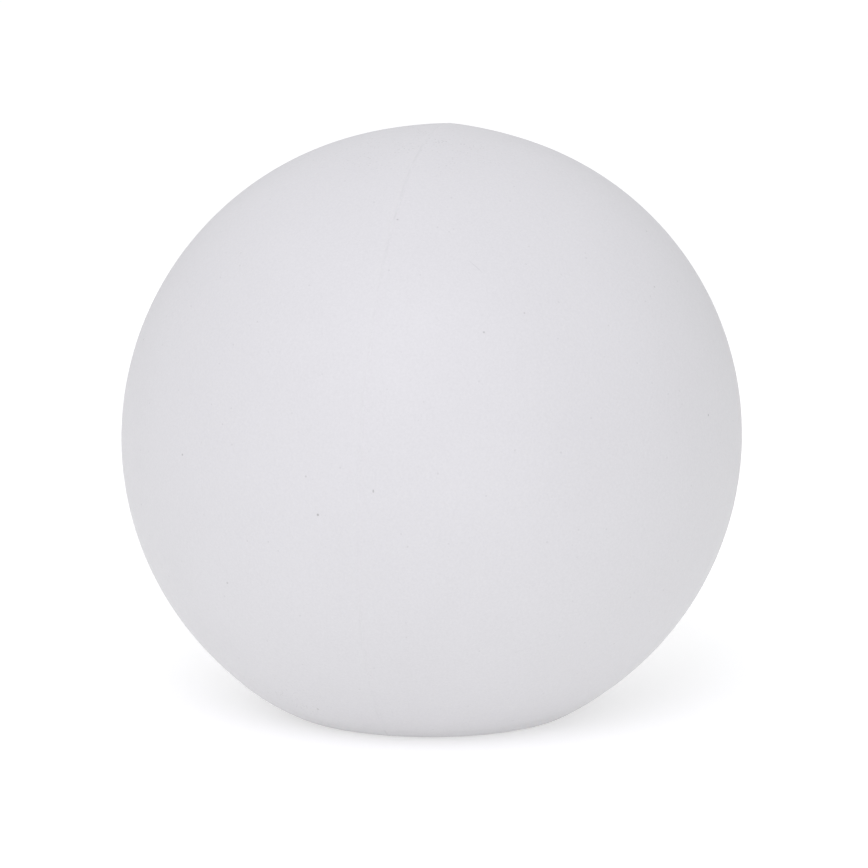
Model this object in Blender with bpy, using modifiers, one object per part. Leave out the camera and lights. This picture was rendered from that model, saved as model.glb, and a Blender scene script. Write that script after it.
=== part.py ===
"""A floating pool light: a hollow polyethylene globe with a flat seat, and the sealed light module
that screws into the neck in its base. Metres, +Z up, with the origin at the centre of the seat."""

import math

import bmesh
import bpy

# ---- driving dimensions ----
GAP = 0.0003                    # between pieces that touch

GLOBE_RADIUS = 0.150
GLOBE_WALL = 0.003
GLOBE_CENTRE_Z = 0.133          # the sphere's centre above the seat
RIM_ROUND = 0.010               # where the sphere runs into the seat
RECESS_RADIUS = 0.058           # the well in the middle of the seat
RECESS_DEPTH = 0.012
RECESS_ROUND = 0.002
OPENING_RADIUS = 0.0482         # the mouth of the globe
COLLAR_RADIUS = 0.057           # the thick collar round the mouth, which takes the screws
COLLAR_TOP = 0.026

GASKET_THICKNESS = 0.0012
RING_RADIUS = 0.056
RING_FLANGE_THICKNESS = 0.003
RING_TUBE_RADIUS = 0.0476
RING_TOP = 0.027
RING_SCREWS = 6
RING_SCREW_CIRCLE = 0.0522

THREAD_PITCH = 0.006
THREAD_TURNS = 1.75
THREAD_LOW_Z = 0.0135           # where the ring's ridge starts
THREAD_START = math.radians(2)  # clear of the corners of the turned pieces
INNER_ROOT, INNER_CREST = 0.0436, 0.0417      # the ring's thread
OUTER_ROOT, OUTER_CREST = 0.0410, 0.0431      # the module's thread
RIDGE_ROOT_WIDTH, RIDGE_CREST_WIDTH = 0.0026, 0.0016

SEAL_SECTION = 0.0022           # the O-ring between the module and the ring
SEAL_CIRCLE = 0.0455
SEAL_GROOVE_DEPTH = 0.0008

MODULE_BOTTOM = 0.002
MODULE_FLANGE_RADIUS = 0.0483
MODULE_FLANGE_TOP = 0.0052
MODULE_TOP = 0.060
CAVITY_RADIUS = 0.0384
CAVITY_FLOOR = 0.022
POCKET_RADIUS = 0.034
POCKET_CEILING = 0.0195
BAR_HALF_WIDTH = 0.011          # the grip bar between the finger pockets
TRENCH_HALF_WIDTH = 0.0085      # the hollow inside the bar
TRENCH_X = (-0.030, 0.037)
TRENCH_FLOOR = 0.0055

BUTTON_X = -0.0175
BUTTON_FACE_RADIUS = 0.0054
BUTTON_HOLE_RADIUS = 0.0058
BUTTON_STEM_TOP = 0.0127
SWITCH_BOTTOM = 0.0140
IO_BOARD_Z = (0.0178, 0.0194)
IO_BOARD_X = (-0.0245, 0.0310)
IO_POSTS_X = (-0.0045, 0.0285)

JACK_X = 0.0165
PORT_RADIUS = 0.0046
PORT_SINK_RADIUS = 0.0074
SINK_CEILING = 0.0036           # of the port's sink and of the strap's channel
PLUG_FLANGE_RADIUS = 0.0068
PLUG_STEM_RADIUS = 0.0042
STRAP_ANCHOR_X = -0.0035

BALLAST_Z = (0.0223, 0.0263)
CELL_RADIUS = 0.0091
CELL_LENGTH = 0.065
CELL_Y = 0.0096
CELL_Z = 0.038
CLAMP_X = 0.012
POST_Y = 0.0255                 # the two posts that carry the control board and the heat spreader
CONTROL_BOARD_Z = (0.0515, 0.0531)
CONTROL_BOARD_RADIUS = 0.0355
SPREADER_Z = (0.0607, 0.0627)
SPREADER_RADIUS = 0.0295
LED_BOARD_Z = (0.0630, 0.0646)
LED_COUNT = 8
LED_CIRCLE = 0.0165

LENS_FLANGE_Z = (0.0616, 0.0641)
LENS_RADIUS = 0.032
LENS_WALL = 0.002
LENS_DOME_RISE = 0.018
LENS_SCREWS = 4
LENS_SCREW_CIRCLE = 0.0362

FINE, MEDIUM, COARSE = 48, 24, 12             # sides of large, middling and small round pieces


# ---- scene, collections and materials ----
def clear_scene():
    for obj in list(bpy.data.objects):
        bpy.data.objects.remove(obj, do_unlink=True)


def new_collection(name):
    collection = bpy.data.collections.new(name)
    bpy.context.scene.collection.children.link(collection)
    return collection


def material(name, colour, roughness, metallic=0.0):
    mat = bpy.data.materials.new(name)
    mat.use_nodes = True
    shader = mat.node_tree.nodes["Principled BSDF"]
    shader.inputs["Base Color"].default_value = (*colour, 1.0)
    shader.inputs["Roughness"].default_value = roughness
    shader.inputs["Metallic"].default_value = metallic
    return mat


clear_scene()
PARTS = new_collection("floating_pool_light")
CUTTERS = new_collection("cutters")

POLYETHYLENE = material("polyethylene", (0.83, 0.83, 0.84), 0.55)
WHITE_ABS = material("white_abs", (0.78, 0.78, 0.78), 0.45)
GREY_SILICONE = material("grey_silicone", (0.32, 0.33, 0.34), 0.7)
BLACK_PLASTIC = material("black_plastic", (0.02, 0.02, 0.02), 0.5)
CLEAR_LENS = material("clear_lens", (0.85, 0.87, 0.88), 0.15)
STEEL = material("stainless_steel", (0.6, 0.6, 0.6), 0.3, 1.0)
ALUMINIUM = material("aluminium", (0.75, 0.75, 0.76), 0.35, 1.0)
BRASS = material("nickelled_brass", (0.62, 0.58, 0.48), 0.3, 1.0)
GREEN_BOARD = material("green_board", (0.02, 0.14, 0.06), 0.45)
WHITE_BOARD = material("white_board", (0.8, 0.8, 0.78), 0.4)
CELL_WRAP = material("cell_wrap", (0.03, 0.12, 0.42), 0.4)
LED_PACKAGE = material("led_package", (0.85, 0.78, 0.45), 0.35)
NYLON = material("nylon", (0.8, 0.78, 0.7), 0.5)
RED_WIRE = material("red_wire", (0.55, 0.03, 0.02), 0.5)


def frame(name, location=(0, 0, 0), parent=None):
    """An empty that carries one rigid body; location is in world metres."""
    empty = bpy.data.objects.new(name, None)
    PARTS.objects.link(empty)
    empty.parent = parent
    base = parent.location if parent else (0, 0, 0)
    empty.location = [at - below for at, below in zip(location, base)]
    return empty


GLOBE = frame("globe_frame")
SEAL = frame("seal_frame", parent=GLOBE)
MODULE = frame("module_frame", parent=SEAL)
BUTTON = frame("button_frame", (BUTTON_X, 0, 0), MODULE)
PLUNGER = frame("plunger_frame", (BUTTON_X, 0, 0), MODULE)
PLUG = frame("plug_frame", (JACK_X, 0, 0), MODULE)


# ---- ways of making a piece ----
def place(name, mesh, mat, parent, at=(0, 0, 0), turn=0.0):
    """Puts a mesh in the scene as a piece, or as a cutter where it has no material. `at` is in the
    frame of the globe."""
    obj = bpy.data.objects.new(name, mesh)
    obj.parent = parent
    obj.location = [x - base for x, base in zip(at, parent.location)]
    obj.rotation_euler.z = turn
    if mat is None:
        CUTTERS.objects.link(obj)
        obj.hide_render = True
        obj.display_type = 'WIRE'
    else:
        PARTS.objects.link(obj)
        if not mesh.materials:
            mesh.materials.append(mat)
    return obj


def mesh_from(bm, name):
    mesh = bpy.data.meshes.new(name)
    bmesh.ops.recalc_face_normals(bm, faces=bm.faces)
    bm.to_mesh(mesh)
    bm.free()
    mesh.shade_smooth()
    mesh.set_sharp_from_angle(angle=math.radians(35))
    return mesh


def turned(name, profile, mat, parent=GLOBE, at=(0, 0, 0), steps=MEDIUM, ring=False):
    """Turns a profile of (radius, z) points, which runs down its outer side. A ring's profile is
    closed; any other starts and ends on the axis."""
    mesh = bpy.data.meshes.new(name)
    count = len(profile)
    edges = [(i, (i + 1) % count) for i in range(count if ring else count - 1)]
    mesh.from_pydata([(r, 0, z) for r, z in profile], edges, [])
    obj = place(name, mesh, mat, parent, at)
    screw = obj.modifiers.new("turn", 'SCREW')
    screw.steps = screw.render_steps = steps
    screw.use_merge_vertices = True
    screw.merge_threshold = 0.00001
    screw.use_smooth_shade = False
    return obj


def cylinder_mesh(name, radius, z_low, z_high, sides):
    bm = bmesh.new()
    bmesh.ops.create_cone(bm, cap_ends=True, segments=sides, radius1=radius, radius2=radius,
                          depth=z_high - z_low)
    bmesh.ops.translate(bm, vec=(0, 0, (z_low + z_high) / 2), verts=bm.verts)
    return mesh_from(bm, name)


def cylinder(name, radius, z_low, z_high, at=(0, 0), mat=None, parent=MODULE, sides=COARSE):
    mesh = cylinder_mesh(name, radius, z_low, z_high, sides)
    return place(name, mesh, mat, parent, (*at, 0))


def block(name, x, y, z, mat=None, parent=MODULE, at=(0, 0), turn=0.0, edge=0.0):
    """A box between the pairs x, y and z, with its upright edges bevelled by `edge`."""
    bm = bmesh.new()
    bmesh.ops.create_cube(bm, size=1.0)
    size = (x[1] - x[0], y[1] - y[0], z[1] - z[0])
    bmesh.ops.scale(bm, vec=size, verts=bm.verts)
    middle = [(low + high) / 2 for low, high in (x, y, z)]
    bmesh.ops.translate(bm, vec=middle, verts=bm.verts)
    if edge:
        upright = [e for e in bm.edges if abs(e.verts[0].co.z - e.verts[1].co.z) > size[2] / 2]
        bmesh.ops.bevel(bm, geom=upright, offset=edge, segments=3, profile=0.5, affect='EDGES')
    return place(name, mesh_from(bm, name), mat, parent, (*at, 0), turn)


def boolean(target, tools, operation):
    for tool in tools:
        modifier = target.modifiers.new(f"{operation.lower()} {tool.name}", 'BOOLEAN')
        modifier.operation = operation
        modifier.object = tool


def cut(target, *tools):
    boolean(target, tools, 'DIFFERENCE')


def join(target, *tools):
    boolean(target, tools, 'UNION')


def lead(name, points, radius, mat):
    """An insulated wire through the points, on a smooth curve."""
    curve = bpy.data.curves.new(name, 'CURVE')
    curve.dimensions = '3D'
    curve.bevel_depth = radius
    curve.bevel_resolution = 2
    curve.use_fill_caps = True
    path = smooth_path(points, 3)
    spline = curve.splines.new('POLY')
    spline.points.add(len(path) - 1)
    for point, place_at in zip(spline.points, path):
        point.co = (*place_at, 1)
    curve.materials.append(mat)
    obj = bpy.data.objects.new(name, curve)
    PARTS.objects.link(obj)
    obj.parent = MODULE
    return obj


def smooth_path(points, steps):
    """Points of the Catmull-Rom curve through the given points."""
    path = []
    last = len(points) - 1
    for i in range(last):
        before, start, end, after = (points[max(i - 1, 0)], points[i], points[i + 1],
                                     points[min(i + 2, last)])
        for step in range(steps):
            t = step / steps
            path.append([0.5 * (2 * b + (c - a) * t + (2 * a - 5 * b + 4 * c - d) * t ** 2
                                + (3 * b - a - 3 * c + d) * t ** 3)
                         for a, b, c, d in zip(before, start, end, after)])
    return path + [list(points[-1])]


def arc(centre, radius, first, last, steps):
    """Points of an arc in a profile; angles are in degrees from +X towards +Z."""
    angles = [math.radians(first + (last - first) * i / steps) for i in range(steps + 1)]
    return [(centre[0] + radius * math.cos(a), centre[1] + radius * math.sin(a)) for a in angles]


def on_circle(radius, count, first=0.0):
    """(x, y, angle) of evenly spaced places on a circle; the angles are in degrees."""
    angles = [math.radians(first + 360 * i / count) for i in range(count)]
    return [(radius * math.cos(a), radius * math.sin(a), a) for a in angles]


def ridge(name, root, crest, low_z, parent):
    """A thread's helical ridge, right-handed, from `root` to `crest` radius."""
    sides_per_turn = 32
    corners = [(root, -RIDGE_ROOT_WIDTH / 2), (crest, -RIDGE_CREST_WIDTH / 2),
               (crest, RIDGE_CREST_WIDTH / 2), (root, RIDGE_ROOT_WIDTH / 2)]
    bm = bmesh.new()
    face = bm.faces.new([bm.verts.new((r, 0, low_z + z)) for r, z in corners])
    geometry = [face, *face.edges, *face.verts]
    bmesh.ops.spin(bm, geom=geometry, cent=(0, 0, 0), axis=(0, 0, 1),
                   dvec=(0, 0, THREAD_PITCH / sides_per_turn), angle=THREAD_TURNS * 2 * math.pi,
                   steps=round(THREAD_TURNS * sides_per_turn))
    return place(name, mesh_from(bm, name), None, parent, turn=THREAD_START)


def screw_profile(shank, length, head, head_height):
    """A pan head down at z = 0, with the shank up."""
    crown = head_height * 0.4
    return [(0, head_height + length), (shank, head_height + length), (shank, head_height),
            (head, head_height), (head, crown), (head * 0.7, 0), (0, 0)]


def crossed_screw_mesh(name, shank, length, head, head_height):
    """A screw with a cross recess in its head."""
    blank = turned(name + "_blank", screw_profile(shank, length, head, head_height), None,
                   steps=COARSE)
    reach, half_width, depth = head * 0.55, head * 0.13, head_height * 0.6
    for turn, length_x, length_y in (("across", reach, half_width), ("along", half_width, reach)):
        slot = block(f"{name}_{turn}", (-length_x, length_x), (-length_y, length_y),
                     (-0.001, depth), parent=GLOBE)
        cut(blank, slot)
    bpy.context.view_layer.update()
    evaluated = blank.evaluated_get(bpy.context.evaluated_depsgraph_get())
    mesh = bpy.data.meshes.new_from_object(evaluated)
    mesh.name = name
    for used in [modifier.object for modifier in blank.modifiers[1:]] + [blank]:
        bpy.data.objects.remove(used, do_unlink=True)
    mesh.materials.append(STEEL)
    return mesh


def inner_screw(name, at, shank, length, head, head_height):
    """A plain screw inside the module, head up; `at` is the underside of its head."""
    profile = [(r, -z) for r, z in reversed(screw_profile(shank, length, head, head_height))]
    turned(name, profile, STEEL, MODULE, (at[0], at[1], at[2] + head_height), 10)


# ---- the globe and its neck ----
def globe_shell():
    centre = (0, GLOBE_CENTRE_Z)
    inner_radius = GLOBE_RADIUS - GLOBE_WALL
    round_centre = (math.sqrt((GLOBE_RADIUS - RIM_ROUND) ** 2
                              - (GLOBE_CENTRE_Z - RIM_ROUND) ** 2), RIM_ROUND)
    rim = math.degrees(math.atan2(RIM_ROUND - GLOBE_CENTRE_Z, round_centre[0]))
    recess_wall = RECESS_RADIUS + GLOBE_WALL
    profile = [(0, GLOBE_CENTRE_Z + GLOBE_RADIUS)]
    profile += arc(centre, GLOBE_RADIUS, 90, 0, 10)[1:] + arc(centre, GLOBE_RADIUS, 0, rim, 7)[1:]
    profile += arc(round_centre, RIM_ROUND, rim, -90, 2)[1:]
    profile += arc((RECESS_RADIUS + RECESS_ROUND, RECESS_ROUND), RECESS_ROUND, -90, -180, 2)
    profile += [(RECESS_RADIUS, RECESS_DEPTH), (OPENING_RADIUS, RECESS_DEPTH),
                (OPENING_RADIUS, COLLAR_TOP), (COLLAR_RADIUS, COLLAR_TOP),
                (COLLAR_RADIUS, RECESS_DEPTH + GLOBE_WALL),
                (recess_wall, RECESS_DEPTH + GLOBE_WALL), (recess_wall, GLOBE_WALL)]
    profile += arc(round_centre, RIM_ROUND - GLOBE_WALL, -90, rim, 2)
    profile += arc(centre, inner_radius, rim, 90, 9)[1:-1]
    profile.append((0, GLOBE_CENTRE_Z + inner_radius))
    shell = turned("globe_shell", profile, POLYETHYLENE, steps=FINE)
    for i, (x, y, _) in enumerate(on_circle(RING_SCREW_CIRCLE, RING_SCREWS, 30)):
        cut(shell, cylinder(f"collar_hole_{i + 1}", 0.0023, RECESS_DEPTH - 0.002,
                            RECESS_DEPTH + 0.012, (x, y), parent=GLOBE, sides=12))


RING_FLANGE_HIGH = RECESS_DEPTH - GAP - GASKET_THICKNESS - GAP
RING_FLANGE_LOW = RING_FLANGE_HIGH - RING_FLANGE_THICKNESS


def neck_pieces():
    low, high = RING_FLANGE_LOW, RING_FLANGE_HIGH
    profile = [(INNER_ROOT, RING_TOP), (RING_TUBE_RADIUS, RING_TOP), (RING_TUBE_RADIUS, high),
               (RING_RADIUS, high), (RING_RADIUS, low + 0.0006), (RING_RADIUS - 0.0006, low),
               (INNER_ROOT, low)]
    ring = turned("neck_ring", profile, WHITE_ABS, steps=FINE, ring=True)
    join(ring, ridge("ring_ridge", INNER_ROOT + 0.0006, INNER_CREST, THREAD_LOW_Z, GLOBE))

    outer, inner = RING_RADIUS, OPENING_RADIUS + 0.0002
    top, bottom = high + GAP + GASKET_THICKNESS, high + GAP
    gasket = turned("neck_gasket", [(inner, top), (outer, top), (outer, bottom), (inner, bottom)],
                    GREY_SILICONE, steps=36, ring=True)

    head_height = 0.0019
    mesh = crossed_screw_mesh("neck_screw", 0.0020, 0.0150, 0.0033, head_height)
    for i, (x, y, angle) in enumerate(on_circle(RING_SCREW_CIRCLE, RING_SCREWS, 30)):
        hole = cylinder(f"ring_hole_{i + 1}", 0.0024, low - 0.001, top + 0.001, (x, y),
                        parent=GLOBE, sides=12)
        cut(ring, hole)
        cut(gasket, hole)
        place(f"neck_screw_{i + 1}", mesh, STEEL, GLOBE, (x, y, low - GAP - head_height),
              angle * 3.7)


def module_seal():
    radius = SEAL_SECTION / 2
    middle = RING_FLANGE_LOW - GAP - radius
    section = arc((SEAL_CIRCLE, middle), radius, 90, -270, 8)[:-1]
    turned("module_seal", section, GREY_SILICONE, SEAL, steps=40, ring=True)


# ---- the module's housing ----
def housing_body():
    groove = SEAL_SECTION / 2 + 0.0004
    low, top = MODULE_BOTTOM, MODULE_FLANGE_TOP
    profile = [(0, MODULE_TOP), (OUTER_ROOT, MODULE_TOP), (OUTER_ROOT, top),
               (SEAL_CIRCLE - groove, top), (SEAL_CIRCLE - groove, top - SEAL_GROOVE_DEPTH),
               (SEAL_CIRCLE + groove, top - SEAL_GROOVE_DEPTH), (SEAL_CIRCLE + groove, top),
               (MODULE_FLANGE_RADIUS, top), (MODULE_FLANGE_RADIUS, low + 0.001),
               (MODULE_FLANGE_RADIUS - 0.001, low), (0, low)]
    return turned("module_housing", profile, WHITE_ABS, MODULE, steps=FINE)


def finger_pocket(side):
    """A cutter for the D-shaped hollow on one side of the grip bar, +1 or -1 along Y."""
    pocket = cylinder(f"pocket_{'front' if side < 0 else 'back'}", POCKET_RADIUS, -0.004,
                      POCKET_CEILING, sides=36)
    reach = POCKET_RADIUS + 0.001
    keep = block(f"{pocket.name}_side", (-reach, reach),
                 sorted((side * BAR_HALF_WIDTH, side * reach)), (-0.010, POCKET_CEILING + 0.001))
    boolean(pocket, [keep], 'INTERSECT')
    bevel = pocket.modifiers.new("round", 'BEVEL')
    bevel.width = 0.003
    bevel.segments = 2
    bevel.limit_method = 'ANGLE'
    bevel.angle_limit = math.radians(50)
    return pocket


def housing_hollows():
    """Cutters for the cavity, the trench in the bar and the openings in the bar's face."""
    out = MODULE_BOTTOM - 0.002
    hollows = [
        cylinder("cavity", CAVITY_RADIUS, CAVITY_FLOOR, MODULE_TOP + 0.002, sides=FINE),
        block("trench", TRENCH_X, (-TRENCH_HALF_WIDTH, TRENCH_HALF_WIDTH),
              (TRENCH_FLOOR, CAVITY_FLOOR + 0.002), edge=0.002),
        finger_pocket(1), finger_pocket(-1),
        cylinder("button_hole", BUTTON_HOLE_RADIUS, out, TRENCH_FLOOR + 0.001, (BUTTON_X, 0),
                 sides=MEDIUM),
        cylinder("button_sink", BUTTON_HOLE_RADIUS + 0.0022, out, MODULE_BOTTOM + 0.0006,
                 (BUTTON_X, 0), sides=MEDIUM),
        cylinder("port", PORT_RADIUS, out, TRENCH_FLOOR + 0.001, (JACK_X, 0), sides=MEDIUM),
        cylinder("port_sink", PORT_SINK_RADIUS, out, SINK_CEILING, (JACK_X, 0), sides=MEDIUM),
        block("strap_channel", (STRAP_ANCHOR_X, JACK_X), (-0.0026, 0.0026), (out, SINK_CEILING)),
        cylinder("strap_sink", 0.0031, out, SINK_CEILING, (STRAP_ANCHOR_X, 0), sides=MEDIUM),
        cylinder("strap_hole", 0.0015, out, TRENCH_FLOOR - 0.0006, (STRAP_ANCHOR_X, 0), sides=12),
    ]
    return hollows


def housing_posts():
    """The posts and bosses moulded inside the housing, and the cutters for their screw holes."""
    posts, holes = [], []
    for i, x in enumerate(IO_POSTS_X):
        posts.append(cylinder(f"io_post_{i + 1}", 0.0025, TRENCH_FLOOR - 0.0004,
                              IO_BOARD_Z[0] - GAP, (x, 0)))
        holes.append(cylinder(f"io_post_hole_{i + 1}", 0.0013, TRENCH_FLOOR + 0.003,
                              IO_BOARD_Z[0] + 0.001, (x, 0), sides=12))
    for i, y in enumerate((-POST_Y, POST_Y)):
        posts.append(cylinder(f"board_post_{i + 1}", 0.0028, CAVITY_FLOOR - 0.001,
                              CONTROL_BOARD_Z[0] - GAP, (0, y)))
        holes.append(cylinder(f"board_post_hole_{i + 1}", 0.0018, CONTROL_BOARD_Z[0] - 0.010,
                              CONTROL_BOARD_Z[0] + 0.001, (0, y), sides=12))
    for i, (x, y, _) in enumerate(on_circle(LENS_SCREW_CIRCLE, LENS_SCREWS, 45)):
        posts.append(cylinder(f"lens_boss_{i + 1}", 0.0032, 0.0480, MODULE_TOP - 0.0002, (x, y)))
        holes.append(cylinder(f"lens_boss_hole_{i + 1}", 0.0018, 0.0505, MODULE_TOP + 0.002,
                              (x, y), sides=12))
    return posts, holes


def module_housing():
    housing = housing_body()
    thread_low = THREAD_LOW_Z + THREAD_PITCH / 2
    join(housing, ridge("module_ridge", OUTER_ROOT - 0.0006, OUTER_CREST, thread_low, MODULE))
    cut(housing, *housing_hollows())
    posts, holes = housing_posts()
    join(housing, *posts)
    cut(housing, *holes)


# ---- the button, the charging port and their board ----
def power_button():
    flange = TRENCH_FLOOR + 0.0004
    profile = [(0, BUTTON_STEM_TOP), (0.0018, BUTTON_STEM_TOP), (0.0018, flange + 0.0008),
               (0.0068, flange + 0.0008), (0.0068, flange), (BUTTON_FACE_RADIUS, flange),
               (BUTTON_FACE_RADIUS, MODULE_BOTTOM + 0.0010),
               (BUTTON_FACE_RADIUS - 0.0006, MODULE_BOTTOM + 0.0004),
               (0.0030, MODULE_BOTTOM + 0.0004), (0.0022, MODULE_BOTTOM + 0.0008),
               (0, MODULE_BOTTOM + 0.0009)]
    turned("power_button", profile, GREY_SILICONE, BUTTON, (BUTTON_X, 0, 0))


def button_boot():
    foot, top = TRENCH_FLOOR + GAP, 0.0122
    profile = [(0.0022, top), (0.0030, top), (0.0032, top - 0.0012), (0.0079, foot + 0.0014),
               (0.0082, foot + 0.0012), (0.0082, foot), (0.0072, foot), (0.0072, foot + 0.0010),
               (0.0024, top - 0.0015)]
    turned("button_boot", profile, GREY_SILICONE, MODULE, (BUTTON_X, 0, 0), 24, ring=True)


def switch():
    body = block("switch_body", (-0.003, 0.003), (-0.003, 0.003),
                 (SWITCH_BOTTOM, IO_BOARD_Z[0] - GAP), BLACK_PLASTIC, at=(BUTTON_X, 0))
    cut(body, cylinder("plunger_bore", 0.0021, SWITCH_BOTTOM - 0.001, 0.0168, (BUTTON_X, 0)))
    cylinder("switch_plunger", 0.0017, BUTTON_STEM_TOP + GAP, 0.0154, (BUTTON_X, 0),
             WHITE_ABS, PLUNGER)


def charge_jack():
    half, low, high = 0.0045, 0.0070, IO_BOARD_Z[0] - GAP
    jack = block("charge_jack", (-half, half), (-half, half), (low, high), BLACK_PLASTIC,
                 at=(JACK_X, 0), edge=0.0008)
    cut(jack, cylinder("jack_socket", 0.0028, low - 0.001, high - 0.0012, (JACK_X, 0)))
    join(jack, cylinder("jack_pin", 0.0008, low + 0.001, high - 0.0008, (JACK_X, 0), sides=8))


def charge_plug():
    low, high = MODULE_BOTTOM + 0.0003, SINK_CEILING - GAP
    profile = [(0, 0.0065), (PLUG_STEM_RADIUS - 0.0006, 0.0065), (PLUG_STEM_RADIUS, 0.0059),
               (PLUG_STEM_RADIUS, high), (PLUG_FLANGE_RADIUS, high),
               (PLUG_FLANGE_RADIUS, low + 0.0003), (PLUG_FLANGE_RADIUS - 0.0003, low), (0, low)]
    turned("charge_plug", profile, GREY_SILICONE, PLUG, (JACK_X, 0, 0))

    low += 0.0001
    edge = JACK_X - PLUG_FLANGE_RADIUS - GAP
    strap = block("plug_strap", (STRAP_ANCHOR_X, edge), (-0.002, 0.002), (low, high),
                  GREY_SILICONE)
    join(strap, cylinder("strap_pad", 0.0026, low, high, (STRAP_ANCHOR_X, 0)),
         cylinder("strap_stub", 0.0012, low + 0.0002, 0.0046, (STRAP_ANCHOR_X, 0), sides=12))


def io_board():
    low, high = IO_BOARD_Z
    board = block("io_board", IO_BOARD_X, (-0.0075, 0.0075), (low, high), GREEN_BOARD)
    for i, x in enumerate(IO_POSTS_X):
        cut(board, cylinder(f"io_board_hole_{i + 1}", 0.0013, low - 0.001, high + 0.001, (x, 0),
                            sides=12))
        inner_screw(f"io_board_screw_{i + 1}", (x, 0, high + GAP), 0.0010, 0.0080, 0.0019, 0.0012)


# ---- ballast and battery ----
def ballast_plate():
    low, high = BALLAST_Z
    plate = cylinder("ballast_plate", 0.0370, low, high, mat=STEEL, sides=36)
    cut(plate, cylinder("wire_notch", 0.0032, low - 0.001, high + 0.001, (0.0365, 0)),
        *[cylinder(f"ballast_post_hole_{i + 1}", 0.0032, low - 0.001, high + 0.001, (0, y))
          for i, y in enumerate((-POST_Y, POST_Y))],
        *[cylinder(f"ballast_screw_hole_{i + 1}", 0.0018, low - 0.001, high + 0.001, (CLAMP_X, y),
                   sides=12) for i, y in enumerate((-0.0245, 0.0245))])


def cell_cylinder(name, radius, length, y, mat=None, sides=24):
    mesh = cylinder_mesh(name, radius, -length / 2, length / 2, sides)
    obj = place(name, mesh, mat, MODULE, (0, y, CELL_Z))
    obj.rotation_euler.y = math.pi / 2
    return obj


def battery():
    bottom = BALLAST_Z[1] + GAP
    cradle = block("battery_cradle", (-0.027, 0.027), (-0.0192, 0.0192), (bottom, 0.0350),
                   WHITE_ABS)
    for i, y in enumerate((-CELL_Y, CELL_Y)):
        cell_cylinder(f"battery_cell_{i + 1}", CELL_RADIUS, CELL_LENGTH, y, CELL_WRAP)
        cut(cradle, cell_cylinder(f"cell_bed_{i + 1}", CELL_RADIUS + 0.0004, 0.080, y))
    for i, side in enumerate((-1, 1)):
        near = side * (CELL_LENGTH / 2 + GAP)
        far = side * (CELL_LENGTH / 2 + GAP + 0.0005)
        block(f"battery_link_{i + 1}", sorted((near, far)), (-0.0130, 0.0130),
              (CELL_Z - 0.004, CELL_Z + 0.004), STEEL)


def battery_clamp():
    """A bridge over both cells, with a foot each side that is screwed to the ballast plate."""
    foot_low, half, leg = BALLAST_Z[1] + GAP, 0.0050, (0.0196, 0.0216)
    top = (CELL_Z + CELL_RADIUS + GAP, CELL_Z + CELL_RADIUS + GAP + 0.0018)
    x = (CLAMP_X - half, CLAMP_X + half)
    clamp = block("battery_clamp", x, (-leg[1], leg[1]), top, WHITE_ABS)
    for i, side in enumerate((-1, 1)):
        screw_y = side * 0.0245
        join(clamp, block(f"clamp_leg_{i + 1}", x, sorted((side * leg[0], side * leg[1])),
                          (foot_low, top[1] - 0.0002)),
             block(f"clamp_foot_{i + 1}", x, sorted((side * (leg[1] - 0.0004), side * 0.0272)),
                   (foot_low, foot_low + 0.002)))
        cut(clamp, cylinder(f"clamp_hole_{i + 1}", 0.0018, foot_low - 0.001, foot_low + 0.003,
                            (CLAMP_X, screw_y), sides=12))
        inner_screw(f"clamp_screw_{i + 1}", (CLAMP_X, screw_y, foot_low + 0.002 + GAP), 0.0015,
                    0.0055, 0.0024, 0.0015)


# ---- boards, lights and lens ----
def control_board():
    low, high = CONTROL_BOARD_Z
    board = cylinder("control_board", CONTROL_BOARD_RADIUS, low, high, mat=GREEN_BOARD, sides=36)
    for i, (x, y, _) in enumerate(on_circle(LENS_SCREW_CIRCLE, LENS_SCREWS, 45)):
        cut(board, cylinder(f"boss_notch_{i + 1}", 0.0037, low - 0.001, high + 0.001, (x, y)))
    for i, y in enumerate((-POST_Y, POST_Y)):
        cut(board, cylinder(f"control_hole_{i + 1}", 0.0018, low - 0.001, high + 0.001, (0, y),
                            sides=12))
    under, over = low - GAP, high + GAP
    block("control_chip", (-0.0055, 0.0055), (-0.0055, 0.0055), (over, over + 0.0018),
          BLACK_PLASTIC)
    block("battery_connector", (0.0210, 0.0280), (-0.0030, 0.0030), (under - 0.0034, under), NYLON)
    block("io_connector", (0.0210, 0.0280), (-0.0120, -0.0060), (under - 0.0034, under), NYLON)
    block("led_connector", (0.0130, 0.0190), (-0.0035, 0.0035), (over, over + 0.0034), NYLON)


def heat_spreader():
    low, high = SPREADER_Z
    plate = cylinder("heat_spreader", SPREADER_RADIUS, low, high, mat=ALUMINIUM, sides=36)
    cut(plate, cylinder("lead_hole", 0.0018, low - 0.001, high + 0.001, (0.0255, 0), sides=12))
    for i, y in enumerate((-POST_Y, POST_Y)):
        cut(plate, cylinder(f"spreader_hole_{i + 1}", 0.0018, low - 0.001, high + 0.001, (0, y),
                            sides=12))
        top, bottom = low - GAP, CONTROL_BOARD_Z[1] + GAP
        turned(f"spacer_{i + 1}", [(0.0018, top), (0.0028, top), (0.0028, bottom),
                                   (0.0018, bottom)], BRASS, MODULE, (0, y, 0), 12, ring=True)
        inner_screw(f"spreader_screw_{i + 1}", (0, y, high + GAP), 0.0015, 0.0190, 0.0027, 0.0016)


def led_board():
    low, high = LED_BOARD_Z
    cylinder("led_board", 0.0220, low, high, mat=WHITE_BOARD, sides=36)
    base = high + GAP
    for i, (x, y, angle) in enumerate(on_circle(LED_CIRCLE, LED_COUNT, 22.5)):
        block(f"led_{i + 1}", (-0.0025, 0.0025), (-0.0025, 0.0025), (base, base + 0.0016),
              LED_PACKAGE, at=(x, y), turn=angle)
    block("ir_receiver", (-0.0025, 0.0025), (-0.0030, 0.0030), (base, base + 0.0060),
          BLACK_PLASTIC, edge=0.0010)


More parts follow.
